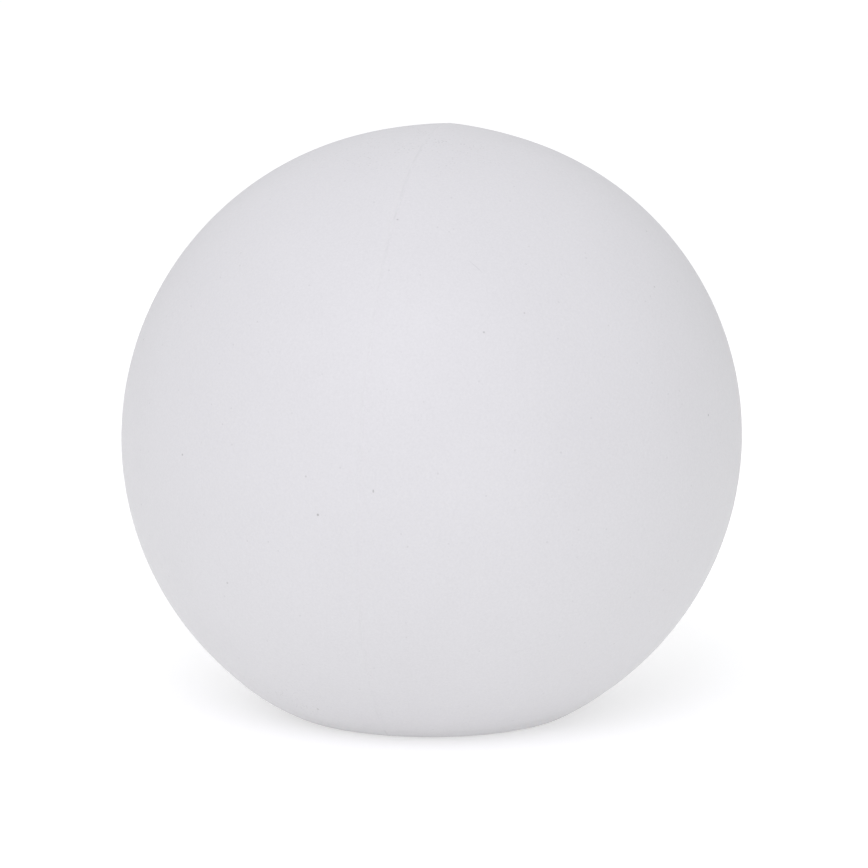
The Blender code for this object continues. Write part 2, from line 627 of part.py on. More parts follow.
def lens():
    low, high = LENS_FLANGE_Z
    inner = LENS_RADIUS - LENS_WALL
    spring = high + 0.002        # where the dome starts above the flange
    quarter = [math.radians(90 * i / 6) for i in range(7)]
    profile = [(LENS_RADIUS * math.sin(a), spring + LENS_DOME_RISE * math.cos(a)) for a in quarter]
    profile += [(LENS_RADIUS, high), (OUTER_ROOT, high), (OUTER_ROOT, low), (inner, low)]
    rise = LENS_DOME_RISE - LENS_WALL
    profile += [(inner * math.sin(a), spring + rise * math.cos(a)) for a in reversed(quarter)]
    dome = turned("lens_dome", profile, CLEAR_LENS, MODULE, steps=32)
    for i, (x, y, _) in enumerate(on_circle(LENS_SCREW_CIRCLE, LENS_SCREWS, 45)):
        cut(dome, cylinder(f"lens_hole_{i + 1}", 0.0018, low - 0.001, high + 0.001, (x, y),
                           sides=12))
        inner_screw(f"lens_screw_{i + 1}", (x, y, high + GAP), 0.0015, 0.0120, 0.0024, 0.0015)

    top, bottom = low - GAP, MODULE_TOP + GAP
    inner, outer = CAVITY_RADIUS + 0.0014, OUTER_ROOT
    turned("lens_seal", [(inner, top), (outer, top), (outer, bottom), (inner, bottom)],
           GREY_SILICONE, MODULE, steps=36, ring=True)


def leads():
    """Short wires between the boards, held whole inside the housing."""
    link = CELL_LENGTH / 2 + 0.0016
    plug_z = CONTROL_BOARD_Z[0] - 0.0020
    face = 0.0280 + GAP
    lead("battery_lead", [(link, 0.003, CELL_Z), (link + 0.0012, 0.003, CELL_Z + 0.005),
                          (link + 0.0005, 0.002, plug_z - 0.002), (0.0310, 0.001, plug_z),
                          (face, 0, plug_z)], 0.0007, RED_WIRE)
    lead("io_lead", [(0.0318, -0.0035, 0.0186), (0.0345, -0.0025, 0.0190), (0.0360, -0.0012, 0.0225),
                     (0.0362, -0.0010, 0.0290), (0.0360, -0.0030, 0.0400),
                     (0.0340, -0.0070, plug_z - 0.001), (0.0305, -0.0088, plug_z),
                     (face, -0.0090, plug_z)], 0.0009, BLACK_PLASTIC)
    lead("led_lead", [(0.0190 + GAP, 0, 0.0552), (0.0225, 0, 0.0556), (0.0252, 0, 0.0580),
                      (0.0255, 0, 0.0617), (0.0252, 0, 0.0650), (0.0235, 0, 0.0664),
                      (0.0212, 0, 0.0658)], 0.0007, RED_WIRE)


globe_shell()
neck_pieces()
module_seal()
module_housing()
power_button()
button_boot()
switch()
charge_jack()
charge_plug()
io_board()
ballast_plate()
battery()
battery_clamp()
control_board()
heat_spreader()
led_board()
lens()
leads()
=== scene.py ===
"""The looks of a floating pool light: a polyethylene globe, switched off, and its screw-in module."""

import math

import bmesh
import bpy
import numpy as np
from mathutils import Matrix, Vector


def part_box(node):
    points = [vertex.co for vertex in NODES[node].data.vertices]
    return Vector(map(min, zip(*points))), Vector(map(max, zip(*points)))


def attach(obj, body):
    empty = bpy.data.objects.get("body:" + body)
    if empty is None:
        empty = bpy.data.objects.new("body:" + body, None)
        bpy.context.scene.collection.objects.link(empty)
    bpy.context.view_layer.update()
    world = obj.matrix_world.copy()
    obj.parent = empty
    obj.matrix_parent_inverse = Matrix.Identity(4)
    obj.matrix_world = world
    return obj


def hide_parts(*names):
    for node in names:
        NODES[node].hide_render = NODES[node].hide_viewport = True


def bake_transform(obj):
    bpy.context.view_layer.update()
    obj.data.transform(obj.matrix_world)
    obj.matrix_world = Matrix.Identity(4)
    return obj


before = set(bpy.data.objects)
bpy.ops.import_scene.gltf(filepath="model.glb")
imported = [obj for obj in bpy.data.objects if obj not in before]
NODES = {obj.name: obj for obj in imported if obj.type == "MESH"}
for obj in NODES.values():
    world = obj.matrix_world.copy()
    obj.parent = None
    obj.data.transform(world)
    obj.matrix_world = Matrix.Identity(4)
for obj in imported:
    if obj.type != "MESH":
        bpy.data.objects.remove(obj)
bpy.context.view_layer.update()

GAP = 0.0003

# ---- the globe, read from its CAD box ----
SHELL_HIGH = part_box("globe_shell")[1]
RADIUS = SHELL_HIGH.x
CENTRE_Z = SHELL_HIGH.z - RADIUS
CENTRE = Vector((0, 0, CENTRE_Z))
WALL = 0.003
RIM_ROUND = 0.010
SEAM_AZIMUTH = math.radians(-12.8)      # of the mould's parting line, left of the front
SEAM_TILT = 0.0055                      # how far it leans to the right at the crown

# ---- the neck and the module: shapes inside their CAD boxes ----
THREAD_PITCH, THREAD_TURNS = 0.006, 1.75
THREAD_LOW = 0.0135             # where the ring's ridge starts
THREAD_START = math.radians(2)  # clear of the corners of the turned pieces
RING_SCREW_CIRCLE = 0.0522
RING_SCREW_HOLE = 0.0024
GASKET_BORE = 0.0484
TUBE_RADIUS = 0.0476            # the ring's tube, which the collar holds
RING_ROOT, RING_CREST = 0.0436, 0.0417
BARREL_RADIUS, BARREL_CREST = 0.0410, 0.0431
FLANGE_TOP = 0.0052
POCKET_RADIUS, POCKET_CEILING = 0.034, 0.0195
BAR_HALF_WIDTH = 0.011
CAVITY_RADIUS, CAVITY_FLOOR = 0.0384, 0.022
TRENCH_FLOOR = 0.0055
SINK_CEILING = 0.0036           # of the port's sink and the strap's channel
STRAP_ANCHOR_X = -0.0035
LENS_SCREW_CIRCLE = 0.0362


# ---- camera, floor and light ----
def set_camera():
    distance = 12 * RADIUS
    elevation = math.radians(9.6)
    fill = 0.3575                        # the globe's radius as a share of the frame's width
    data = bpy.data.cameras.new("camera")
    data.sensor_width = 36
    data.lens = data.sensor_width * fill / math.tan(math.asin(RADIUS / distance))
    data.shift_x, data.shift_y = 0.0027, 0.0022
    camera = bpy.data.objects.new("camera", data)
    bpy.context.scene.collection.objects.link(camera)
    camera.location = (0, -distance * math.cos(elevation),
                       CENTRE_Z + distance * math.sin(elevation))
    camera.rotation_euler = (math.pi / 2 - elevation, 0, 0)
    bpy.context.scene.camera = camera


def soft_box(name, location, size, power, colour):
    """A round area light that faces the middle of the globe."""
    data = bpy.data.lights.new(name, 'AREA')
    data.shape = 'DISK'
    data.size = size
    data.energy = power
    data.color = colour
    light = bpy.data.objects.new(name, data)
    bpy.context.scene.collection.objects.link(light)
    light.location = location
    middle = Vector((0, 0, CENTRE_Z))
    light.rotation_euler = (middle - light.location).to_track_quat('-Z', 'Y').to_euler()


def soft_sky():
    """A white tent round the object, a little brighter on the camera's side and overhead."""
    world = bpy.data.worlds.new("tent")
    world.use_nodes = True
    tree = world.node_tree
    sky = tree.nodes["Background"]
    sky.inputs["Color"].default_value = (0.995, 1.0, 1.01, 1)
    way = tree.nodes.new("ShaderNodeTexCoord")
    slope = tree.nodes.new("ShaderNodeVectorMath")
    slope.operation = 'DOT_PRODUCT'
    slope.inputs[1].default_value = (-0.035, -0.13, 0.35)
    level = tree.nodes.new("ShaderNodeMath")
    level.inputs[1].default_value = 0.655
    tree.links.new(way.outputs["Generated"], slope.inputs[0])
    tree.links.new(slope.outputs["Value"], level.inputs[0])
    tree.links.new(level.outputs[0], sky.inputs["Strength"])
    return world


def set_stage():
    scene = bpy.context.scene
    scene.view_settings.view_transform = 'Standard'
    scene.world = soft_sky()
    soft_box("key", (-0.34, -2.1, 2.0), 1.8, 19.0, (1.0, 0.96, 1.09))

    bm = bmesh.new()
    bmesh.ops.create_circle(bm, cap_ends=True, segments=96, radius=8.0)
    mesh = bpy.data.meshes.new("floor")
    bm.to_mesh(mesh)
    bm.free()
    floor = bpy.data.objects.new("floor", mesh)
    scene.collection.objects.link(floor)
    floor.location.z = -0.0002
    mat = bpy.data.materials.new("floor")
    mat.use_nodes = True
    shader = mat.node_tree.nodes["Principled BSDF"]
    shader.inputs["Base Color"].default_value = (0.72, 0.72, 0.72, 1)
    shader.inputs["Emission Color"].default_value = (1, 1, 1, 1)
    shader.inputs["Emission Strength"].default_value = 0.39
    shader.inputs["Roughness"].default_value = 0.9
    shader.inputs["Specular IOR Level"].default_value = 0.0
    mesh.materials.append(mat)


# ---- material building ----
class Nodes:
    """A short way to build a node tree."""

    def __init__(self, name):
        self.material = bpy.data.materials.new(name)
        self.material.use_nodes = True
        self.tree = self.material.node_tree
        self.shader = self.tree.nodes["Principled BSDF"]
        self.position = self.tree.nodes.new("ShaderNodeTexCoord").outputs["Object"]

    def add(self, kind, inputs=(), **settings):
        node = self.tree.nodes.new("ShaderNode" + kind)
        for key, value in settings.items():
            setattr(node, key, value)
        for key, value in dict(inputs).items():
            self.plug(node.inputs[key], value)
        return node

    def plug(self, socket, value):
        if isinstance(value, bpy.types.NodeSocket):
            self.tree.links.new(value, socket)
        else:
            socket.default_value = value

    def math(self, operation, a, b=0.0):
        return self.add("Math", {0: a, 1: b}, operation=operation).outputs[0]

    def noise(self, scale, detail=3.0, roughness=0.5, at=None, distortion=0.0):
        inputs = {"Vector": at or self.position, "Scale": scale, "Detail": detail,
                  "Roughness": roughness, "Distortion": distortion}
        return self.add("TexNoise", inputs).outputs["Fac"]

    def span(self, value, low, high, to_low=0.0, to_high=1.0):
        inputs = {"Value": value, "From Min": low, "From Max": high, "To Min": to_low,
                  "To Max": to_high}
        return self.add("MapRange", inputs).outputs["Result"]

    def mix(self, share, a, b):
        node = self.add("Mix", data_type='RGBA')
        for socket, value in ((node.inputs[0], share), (node.inputs[6], a), (node.inputs[7], b)):
            if isinstance(value, tuple) and len(value) == 3:
                value = (*value, 1)
            self.plug(socket, value)
        return node.outputs[2]

    def bump(self, height, distance, strength=1.0, normal=None):
        inputs = {"Height": height, "Distance": distance, "Strength": strength}
        if normal is not None:
            inputs["Normal"] = normal
        return self.add("Bump", inputs).outputs["Normal"]

    def finish(self, **inputs):
        for key, value in inputs.items():
            name = key.replace("_", " ")
            if isinstance(value, tuple) and len(value) == 3:
                value = (*value, 1) if "Color" in name or "Tint" in name else value
            self.plug(self.shader.inputs[name], value)
        return self.material


def direction(azimuth, latitude):
    """The way out of the globe at an azimuth right of the front and a latitude, in degrees."""
    a, b = math.radians(azimuth), math.radians(latitude)
    return Vector((math.sin(a) * math.cos(b), -math.cos(a) * math.cos(b), math.sin(b)))


def mark(n, azimuth, latitude, length, width, turn=0):
    """The share of a soft oval mark on the globe. It lies along its parallel until it's turned."""
    out = direction(azimuth, latitude)
    east = Vector((0, 0, 1)).cross(out).normalized()
    axes = Matrix((east, out.cross(east), out)).transposed()
    axes = axes @ Matrix.Rotation(math.radians(turn), 3, 'Z')
    own = n.add("Mapping", {"Vector": n.position, "Location": CENTRE + out * RADIUS,
                            "Rotation": axes.to_euler(), "Scale": (length, width, 0.05)},
                vector_type='TEXTURE').outputs[0]
    reach = n.add("VectorMath", {0: own}, operation='LENGTH').outputs["Value"]
    return n.add("MapRange", {"Value": reach, "From Min": 0.45, "From Max": 1.0, "To Min": 1.0,
                              "To Max": 0.0}, interpolation_type='SMOOTHSTEP').outputs["Result"]


def specks(n, cell, radius, share):
    """Small dots, one in each of a share of the cells of a random pattern."""
    cells = n.add("TexVoronoi", {"Vector": n.position, "Scale": 1 / cell})
    dot = n.span(cells.outputs["Distance"], 0.5 * radius / cell, radius / cell, 1.0, 0.0)
    pick = n.add("SeparateColor", {0: cells.outputs["Color"]}).outputs[0]
    return n.math('MULTIPLY', dot, n.math('LESS_THAN', pick, share))


def polyethylene():
    """The globe: a matt, cloudy white with a fine seam, settled dust and a few marks."""
    n = Nodes("polyethylene")
    cloud = n.noise(11.0, 2.0, 0.5)
    grain = n.noise(900.0, 3.0, 0.7)
    peel = n.noise(260.0, 3.0, 0.55)
    tone = n.math('ADD', n.math('MULTIPLY', cloud, 0.3), n.math('MULTIPLY', grain, 0.7))
    colour = n.mix(n.span(tone, 0.35, 0.65), (0.630, 0.625, 0.636), (0.668, 0.663, 0.674))

    place = n.add("SeparateXYZ", {0: n.position})
    height = n.math('SUBTRACT', place.outputs["Z"], CENTRE_Z)
    sideways = (math.cos(SEAM_AZIMUTH), math.sin(SEAM_AZIMUTH), 0)
    across = n.add("VectorMath", {0: n.position, 1: sideways},
                   operation='DOT_PRODUCT').outputs["Value"]
    across = n.math('SUBTRACT', across, n.math('MULTIPLY', height, SEAM_TILT / RADIUS))
    near_seam = n.span(n.math('ABSOLUTE', across), 0.0002, 0.0006, 1.0, 0.0)
    ends = n.span(n.math('ABSOLUTE', height), 0.35 * RADIUS, 0.75 * RADIUS)
    broken = n.span(n.noise(90.0, 2.0, 0.5), 0.40, 0.62)
    line = n.math('MULTIPLY', near_seam, n.math('MULTIPLY', ends, broken))

    crown = n.span(height, 0.86 * RADIUS, 0.97 * RADIUS, 0.0, 0.7)
    foot = n.span(height, -0.60 * RADIUS, -0.75 * RADIUS, 0.0, 0.7)
    foot = n.math('MULTIPLY', foot, n.span(across, 0.0, -0.05))     # only left of the seam
    drift = n.span(n.noise(24.0, 2.0, 0.5), 0.36, 0.54)
    dust = n.math('MAXIMUM', n.math('MULTIPLY', n.math('MAXIMUM', crown, foot), drift), 0.07)
    fine = specks(n, 0.0016, 0.0005, 0.7)
    fine = n.math('MULTIPLY', fine, n.math('MULTIPLY', dust, n.span(n.noise(80.0), 0.4, 0.6)))
    dark = n.math('MULTIPLY', specks(n, 0.007, 0.0006, 0.5), 0.11)
    dark = n.math('MAXIMUM', dark, n.math('MULTIPLY', specks(n, 0.020, 0.0008, 0.5), 0.45))
    dark = n.math('MAXIMUM', dark, n.math('MULTIPLY', fine, 0.35))
    dark = n.math('MAXIMUM', dark, n.math('MULTIPLY', line, 0.06))
    tick = mark(n, -10, 0, 0.0010, 0.0005, 90)          # just left of the middle
    scratch = mark(n, 10, 40, 0.0055, 0.0003, -50)      # a hair line, up and to the right
    dark = n.math('MAXIMUM', dark, n.math('MULTIPLY', tick, 0.35))
    dark = n.math('MAXIMUM', dark, n.math('MULTIPLY', scratch, 0.09))
    colour = n.mix(dark, colour, (0.06, 0.055, 0.05))

    relief = n.math('ADD', n.math('MULTIPLY', peel, 0.6), n.math('MULTIPLY', grain, 0.4))
    return n.finish(Base_Color=colour, Roughness=n.span(peel, 0.3, 0.7, 0.52, 0.64),
                    Normal=n.bump(relief, 0.0002, 0.3), Subsurface_Weight=0.25,
                    Subsurface_Radius=(1.0, 1.0, 1.0), Subsurface_Scale=0.004)


def white_abs():
    n = Nodes("white_abs")
    grain, cloud = n.noise(1500.0, 3.0, 0.6), n.noise(45.0, 3.0, 0.6)
    colour = n.mix(n.span(cloud, 0.3, 0.7), (0.640, 0.642, 0.645), (0.675, 0.677, 0.678))
    rub = n.span(n.noise(260.0, 5.0, 0.7, distortion=1.5), 0.60, 0.78)
    colour = n.mix(n.math('MULTIPLY', rub, 0.12), colour, (0.40, 0.40, 0.39))
    return n.finish(Base_Color=colour, Roughness=n.span(grain, 0.3, 0.7, 0.38, 0.50),
                    Normal=n.bump(grain, 0.00006, 0.5), Subsurface_Weight=0.1,
                    Subsurface_Radius=(1.0, 1.0, 1.0), Subsurface_Scale=0.0015)


def grey_silicone():
    n = Nodes("grey_silicone")
    grain, cloud = n.noise(2200.0, 3.0, 0.6), n.noise(120.0, 3.0, 0.6)
    colour = n.mix(n.span(cloud, 0.3, 0.7), (0.118, 0.122, 0.128), (0.142, 0.146, 0.150))
    lint = n.math('MULTIPLY', specks(n, 0.0022, 0.00022, 0.35), 0.35)
    colour = n.mix(lint, colour, (0.45, 0.45, 0.44))
    return n.finish(Base_Color=colour, Roughness=n.span(grain, 0.3, 0.7, 0.58, 0.74),
                    Normal=n.bump(grain, 0.00005, 0.6), Sheen_Weight=0.12)


def plain(name, dark, light, rough, scale=700.0, depth=0.00004, **more):
    """A moulded or coated surface: a little cloudy in colour, and finely grained."""
    n = Nodes(name)
    grain, cloud = n.noise(scale, 3.0, 0.6), n.noise(90.0, 3.0, 0.6)
    return n.finish(Base_Color=n.mix(n.span(cloud, 0.3, 0.7), dark, light),
                    Roughness=n.span(grain, 0.3, 0.7, rough - 0.06, rough + 0.07),
                    Normal=n.bump(grain, depth, 0.5), **more)


def metal(name, dark, light, rough, stretch):
    """A worked metal: grain drawn out along one way, which also breaks up its shine."""
    n = Nodes(name)
    drawn = n.add("Mapping", {"Vector": n.position, "Scale": stretch}).outputs[0]
    grain, cloud = n.noise(1.0, 4.0, 0.65, at=drawn), n.noise(150.0, 3.0, 0.6)
    return n.finish(Base_Color=n.mix(n.span(cloud, 0.35, 0.65), dark, light), Metallic=1.0,
                    Roughness=n.span(grain, 0.3, 0.7, rough - 0.07, rough + 0.10),
                    Normal=n.bump(grain, 0.00003, 0.5))


def board(name, mask, trace, copper):
    """Solder mask over fine copper tracks, with tinned dots where they end."""
    n = Nodes(name)
    cells = n.add("TexVoronoi", {"Vector": n.position, "Scale": 420.0}, distance='CHEBYCHEV')
    width = n.math('SUBTRACT', cells.outputs["Distance"], 0.30)
    track = n.span(n.math('ABSOLUTE', width), 0.03, 0.06, 1.0, 0.0)
    colour = n.mix(n.math('MULTIPLY', track, 0.7), mask, trace)
    dots = specks(n, 0.0030, 0.0006, 0.5)
    colour = n.mix(dots, colour, copper)
    return n.finish(Base_Color=colour, Roughness=n.span(n.noise(600.0), 0.3, 0.7, 0.30, 0.42),
                    Metallic=n.math('MULTIPLY', dots, 0.8), Normal=n.bump(track, 0.00005, 0.6))


def frosted_lens():
    n = Nodes("frosted_lens")
    grain, cloud = n.noise(1800.0, 3.0, 0.6), n.noise(60.0, 3.0, 0.6)
    colour = n.mix(n.span(cloud, 0.3, 0.7), (0.80, 0.83, 0.84), (0.84, 0.86, 0.87))
    return n.finish(Base_Color=colour, Roughness=n.span(grain, 0.3, 0.7, 0.42, 0.55),
                    Normal=n.bump(grain, 0.00006, 0.5), Transmission_Weight=0.55, IOR=1.585)


def led_package():
    """A white frame round a disc of yellow phosphor, in each light's own box."""
    n = Nodes("led_package")
    own = n.tree.nodes.new("ShaderNodeTexCoord").outputs["Generated"]
    flat = n.add("VectorMath", {0: own, 1: (1, 1, 0)}, operation='MULTIPLY').outputs[0]
    reach = n.add("VectorMath", {0: flat, 1: (0.5, 0.5, 0)}, operation='DISTANCE').outputs["Value"]
    disc = n.span(reach, 0.25, 0.27, 1.0, 0.0)
    shade = n.span(n.noise(900.0), 0.3, 0.7)
    phosphor = n.mix(shade, (0.72, 0.56, 0.10), (0.80, 0.64, 0.14))
    frame_colour = n.mix(shade, (0.66, 0.66, 0.64), (0.74, 0.74, 0.72))
    return n.finish(Base_Color=n.mix(disc, frame_colour, phosphor),
                    Roughness=n.span(disc, 0.0, 1.0, 0.35, 0.5))


def all_materials():
    return {
        "polyethylene": polyethylene(), "white_abs": white_abs(), "grey_silicone": grey_silicone(),
        "black_plastic": plain("black_plastic", (0.014, 0.014, 0.015), (0.022, 0.022, 0.023), 0.45),
        "frosted_lens": frosted_lens(),
        "stainless_steel": metal("stainless_steel", (0.50, 0.50, 0.49), (0.60, 0.60, 0.59), 0.28,
                                 (900.0, 900.0, 120.0)),
        "zinc_steel": metal("zinc_steel", (0.42, 0.43, 0.45), (0.56, 0.57, 0.58), 0.42,
                            (300.0, 500.0, 300.0)),
        "aluminium": metal("aluminium", (0.66, 0.66, 0.67), (0.74, 0.74, 0.75), 0.34,
                           (60.0, 2500.0, 400.0)),
        "brass": metal("brass", (0.50, 0.46, 0.36), (0.60, 0.56, 0.46), 0.30,
                       (900.0, 900.0, 150.0)),
        "green_board": board("green_board", (0.010, 0.085, 0.035), (0.035, 0.17, 0.075),
                             (0.62, 0.60, 0.56)),
        "white_board": board("white_board", (0.70, 0.70, 0.68), (0.60, 0.60, 0.57),
                             (0.66, 0.64, 0.58)),
        "cell_wrap": plain("cell_wrap", (0.018, 0.085, 0.34), (0.026, 0.11, 0.40), 0.30,
                           depth=0.00008, Coat_Weight=0.3),
        "led_package": led_package(),
        "nylon": plain("nylon", (0.60, 0.57, 0.48), (0.66, 0.63, 0.54), 0.46),
        "red_wire": plain("red_wire", (0.36, 0.016, 0.012), (0.44, 0.022, 0.016), 0.42),
    }


# ---- solids ----
def solid(name, points, faces):
    mesh = bpy.data.meshes.new(name)
    mesh.from_pydata([tuple(p) for p in points], [], faces)
    bm = bmesh.new()
    bm.from_mesh(mesh)
    bmesh.ops.recalc_face_normals(bm, faces=bm.faces)
    bm.to_mesh(mesh)
    bm.free()
    obj = bpy.data.objects.new(name, mesh)
    bpy.context.scene.collection.objects.link(obj)
    return obj


def drum(radius, low, high, at=(0, 0), sides=64):
    """A plain cylinder to cut or join with, turned clear of the corners of other pieces."""
    turned = np.arange(sides) * 2 * math.pi / sides + 0.037
    return lathe("cutter", [(0, high), (radius, high), (radius, low), (0, low)], sides, at=at,
                 lean=lambda rings: np.repeat([turned], len(rings), 0))


def slab(x, y, z):
    """A box between two values on each axis, to cut or join with."""
    outline = ((x[0], y[0]), (x[1], y[0]), (x[1], y[1]), (x[0], y[1]))
    points = [(a, b, c) for c in z for a, b in outline]
    return solid("cutter", points, [(0, 3, 2, 1), (4, 5, 6, 7), (0, 1, 5, 4), (1, 2, 6, 5),
                                    (2, 3, 7, 6), (3, 0, 4, 7)])


def apply_modifiers(obj):
    """Makes the result of an object's modifiers its own mesh."""
    bpy.context.view_layer.update()
    evaluated = obj.evaluated_get(bpy.context.evaluated_depsgraph_get())
    mesh = bpy.data.meshes.new_from_object(evaluated)
    obj.modifiers.clear()
    obj.data = mesh
    return obj


def combine(target, tools, operation='DIFFERENCE'):
    """Cuts the tools out of a solid or joins them to it, and merges points that fall together."""
    same_point = 0.0000005
    for tool in tools:
        modifier = target.modifiers.new("combine", 'BOOLEAN')
        modifier.operation, modifier.object, modifier.solver = operation, tool, 'EXACT'
    apply_modifiers(target)
    for tool in tools:
        bpy.data.objects.remove(tool)
    bm = bmesh.new()
    bm.from_mesh(target.data)
    bmesh.ops.remove_doubles(bm, verts=bm.verts, dist=same_point)
    bmesh.ops.dissolve_degenerate(bm, edges=bm.edges, dist=same_point)
    bm.to_mesh(target.data)
    bm.free()
    return target


def hollow(outline, low, ceiling, mouth=0.0004, floor=0.0004):
    """A cutter of an outline, which takes a distance to grow by, with a rounded mouth and floor."""
    levels = [(mouth * (1 - math.sin(math.radians(8))), low - 0.003)]
    for a in np.radians(np.linspace(8, 90, 6)):
        levels.append((mouth * (1 - math.sin(a)), low + mouth * (1 - math.cos(a))))
    for a in np.radians(np.linspace(0, 80, 8)):
        levels.append((-floor * (1 - math.cos(a)), ceiling - floor + floor * math.sin(a)))
    loops = [outline(grow) for grow, _ in levels]
    count = len(loops[0])
    points = [(x, y, z) for loop, (_, z) in zip(loops, levels) for x, y in loop]
    faces = [tuple(range(count)), tuple(range(len(points) - 1, len(points) - count - 1, -1))]
    for i in range(len(levels) - 1):
        a, b = i * count, (i + 1) * count
        faces += [(a + j, a + (j + 1) % count, b + (j + 1) % count, b + j) for j in range(count)]
    return solid("cutter", points, faces)


def disc(radius, at=(0, 0), count=96):
    turn = np.linspace(0, 2 * math.pi, count, endpoint=False) + 0.01
    return lambda grow: [(at[0] + (radius + grow) * math.cos(a),
                          at[1] + (radius + grow) * math.sin(a)) for a in turn]


def capsule(radius, start, end, count=24):
    """A slot's outline along X, with round ends."""
    def outline(grow):
        ends = [(end, a) for a in np.linspace(-90, 90, count)]
        ends += [(start, a) for a in np.linspace(90, 270, count)]
        return [(x + (radius + grow) * math.cos(math.radians(a)),
                 (radius + grow) * math.sin(math.radians(a))) for x, a in ends]
    return outline


def rounded(corners, steps=4):
    """A profile in which each corner given as (radius, z, round) is rounded off."""
    points = []
    for i, corner in enumerate(corners):
        here = np.array(corner[:2])
        if len(corner) == 2:
            points.append(tuple(here))
            continue
        start, end = (here + (there - here) / np.linalg.norm(there - here) * corner[2]
                      for there in (np.array(corners[i - 1][:2]),
                                    np.array(corners[(i + 1) % len(corners)][:2])))
        for t in np.linspace(0, 1, steps + 1):
            points.append(tuple((1 - t) ** 2 * start + 2 * t * (1 - t) * here + t * t * end))
    return points


def on_circle(radius, count, first):
    """Places spread evenly on a circle, from an angle in degrees."""
    angles = [math.radians(first + 360 * i / count) for i in range(count)]
    return [(radius * math.cos(a), radius * math.sin(a)) for a in angles]


def ridge(root, crest, low, start):
    """A thread's ridge, right-handed, that runs out at both ends."""
    per_turn = 72
    count = round(THREAD_TURNS * per_turn)
    root_half, edge_half, tip_half = 0.0013, 0.00085, 0.0006
    points, faces = [], []
    for i in range(count + 1):
        a = start + 2 * math.pi * i / per_turn
        z = low + THREAD_PITCH * i / per_turn
        full = min(1, 0.15 + i / 8, 0.15 + (count - i) / 8)
        tip = root + (crest - root) * full
        edge = root + (crest - root) * full * 0.8
        for r, up in ((root, -root_half), (edge, -edge_half), (tip, -tip_half), (tip, tip_half),
                      (edge, edge_half), (root, root_half)):
            points.append((r * math.cos(a), r * math.sin(a), z + up))
        if i:
            b = 6 * (i - 1)
            faces += [(b + j, b + (j + 1) % 6, b + 6 + (j + 1) % 6, b + 6 + j) for j in range(6)]
    faces += [tuple(range(5, -1, -1)), tuple(range(6 * count, 6 * count + 6))]
    return solid("cutter", points, faces)


def fit(obj, slot, body, *nodes, smooth=40):
    """Finishes a piece: shading, material, the body it rides and the CAD nodes it stands for."""
    obj.data.shade_smooth()
    obj.data.set_sharp_from_angle(angle=math.radians(smooth))
    obj.data.materials.clear()
    obj.data.materials.append(MATERIALS[slot])
    if body:
        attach(obj, body)
    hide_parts(*nodes)
    return obj


# ---- the globe's skin ----
def arc(centre, radius, first, last, steps):
    angles = np.radians(np.linspace(first, last, steps + 1))
    return [(centre[0] + radius * math.cos(a), centre[1] + radius * math.sin(a)) for a in angles]


def run(*corners, spacing=0.002):
    """Points along straight runs between the corners of a profile."""
    points = [corners[0]]
    for start, end in zip(corners, corners[1:]):
        count = max(1, round(math.dist(start, end) / spacing))
        points += [(start[0] + (end[0] - start[0]) * i / count,
                    start[1] + (end[1] - start[1]) * i / count) for i in range(1, count + 1)]
    return points


def shell_profile():
    """(radius, z) points from the crown down the outside, across the seat and up the inside."""
    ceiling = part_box("neck_gasket")[1].z + GAP
    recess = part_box("neck_gasket")[1].x + 0.002
    opening = 0.0482
    collar, collar_top = recess - 0.001, 0.026
    centre = (0, CENTRE_Z)
    rim = (math.sqrt((RADIUS - RIM_ROUND) ** 2 - (CENTRE_Z - RIM_ROUND) ** 2), RIM_ROUND)
    edge = math.degrees(math.atan2(rim[1] - CENTRE_Z, rim[0]))
    soft = 0.0015
    points = arc(centre, RADIUS, 90, edge, 190)
    points += arc(rim, RIM_ROUND, edge, -90, 6)[1:]
    points += arc((recess + soft, soft), soft, -90, -180, 5)
    points += run((recess, soft), (recess, ceiling - soft))[1:]
    points += arc((recess - soft, ceiling - soft), soft, 0, 90, 4)[1:]
    points += run((recess - soft, ceiling), (opening + 0.0005, ceiling))[1:]
    points += [(opening, ceiling + 0.0005)]
    points += run((opening, ceiling + 0.001), (opening, collar_top - 0.001))
    points += arc((opening + 0.001, collar_top - 0.001), 0.001, 180, 90, 3)[1:]
    points += arc((collar - 0.002, collar_top - 0.002), 0.002, 90, 0, 4)
    inside = recess + WALL
    points += arc((inside - 0.001, ceiling + WALL + 0.003), 0.003, 180, 225, 3)[1:]
    points += arc((inside - 0.003, ceiling + WALL - 0.003), 0.003, 60, 0, 3)
    points += arc((inside + 0.002, WALL + 0.002), 0.002, 180, 270, 3)
    points += arc(rim, RIM_ROUND - WALL, -90, edge, 3)
    points += arc(centre, RADIUS - WALL, edge, 90, 40)[1:]
    points[0] = (0, points[0][1])
    points[-1] = (0, points[-1][1])
    return points


def columns():
    """Azimuths of the skin's columns, close together where the seam runs."""
    angles = set()
    for side in (0, math.pi):
        middle = side - math.pi / 2 + SEAM_AZIMUTH
        near = math.radians(1.6)
        angles |= {middle + x for x in np.linspace(-near, near, 28)}
        angles |= {middle + x for x in np.linspace(near, math.pi - near, 84)[1:-1]}
    return np.array(sorted(a % (2 * math.pi) for a in angles))


def seam_offset(height):
    """How far the seam lies off the plane through the globe's axis, at a height over its centre."""
    return SEAM_TILT * height / RADIUS


def leaning_columns(rings):
    """The columns' azimuths ring by ring, leaning so that the close ones stay on the seam."""
    angles = columns()
    radii, heights = rings[:, 0, None], rings[:, 1, None] - CENTRE_Z
    on_ball = np.clip(radii, 0.001, None)
    lean = np.arcsin(np.clip(seam_offset(heights) / on_ball, -0.8, 0.8))
    front = -math.pi / 2 + SEAM_AZIMUTH
    return angles + lean * np.cos(angles - front)


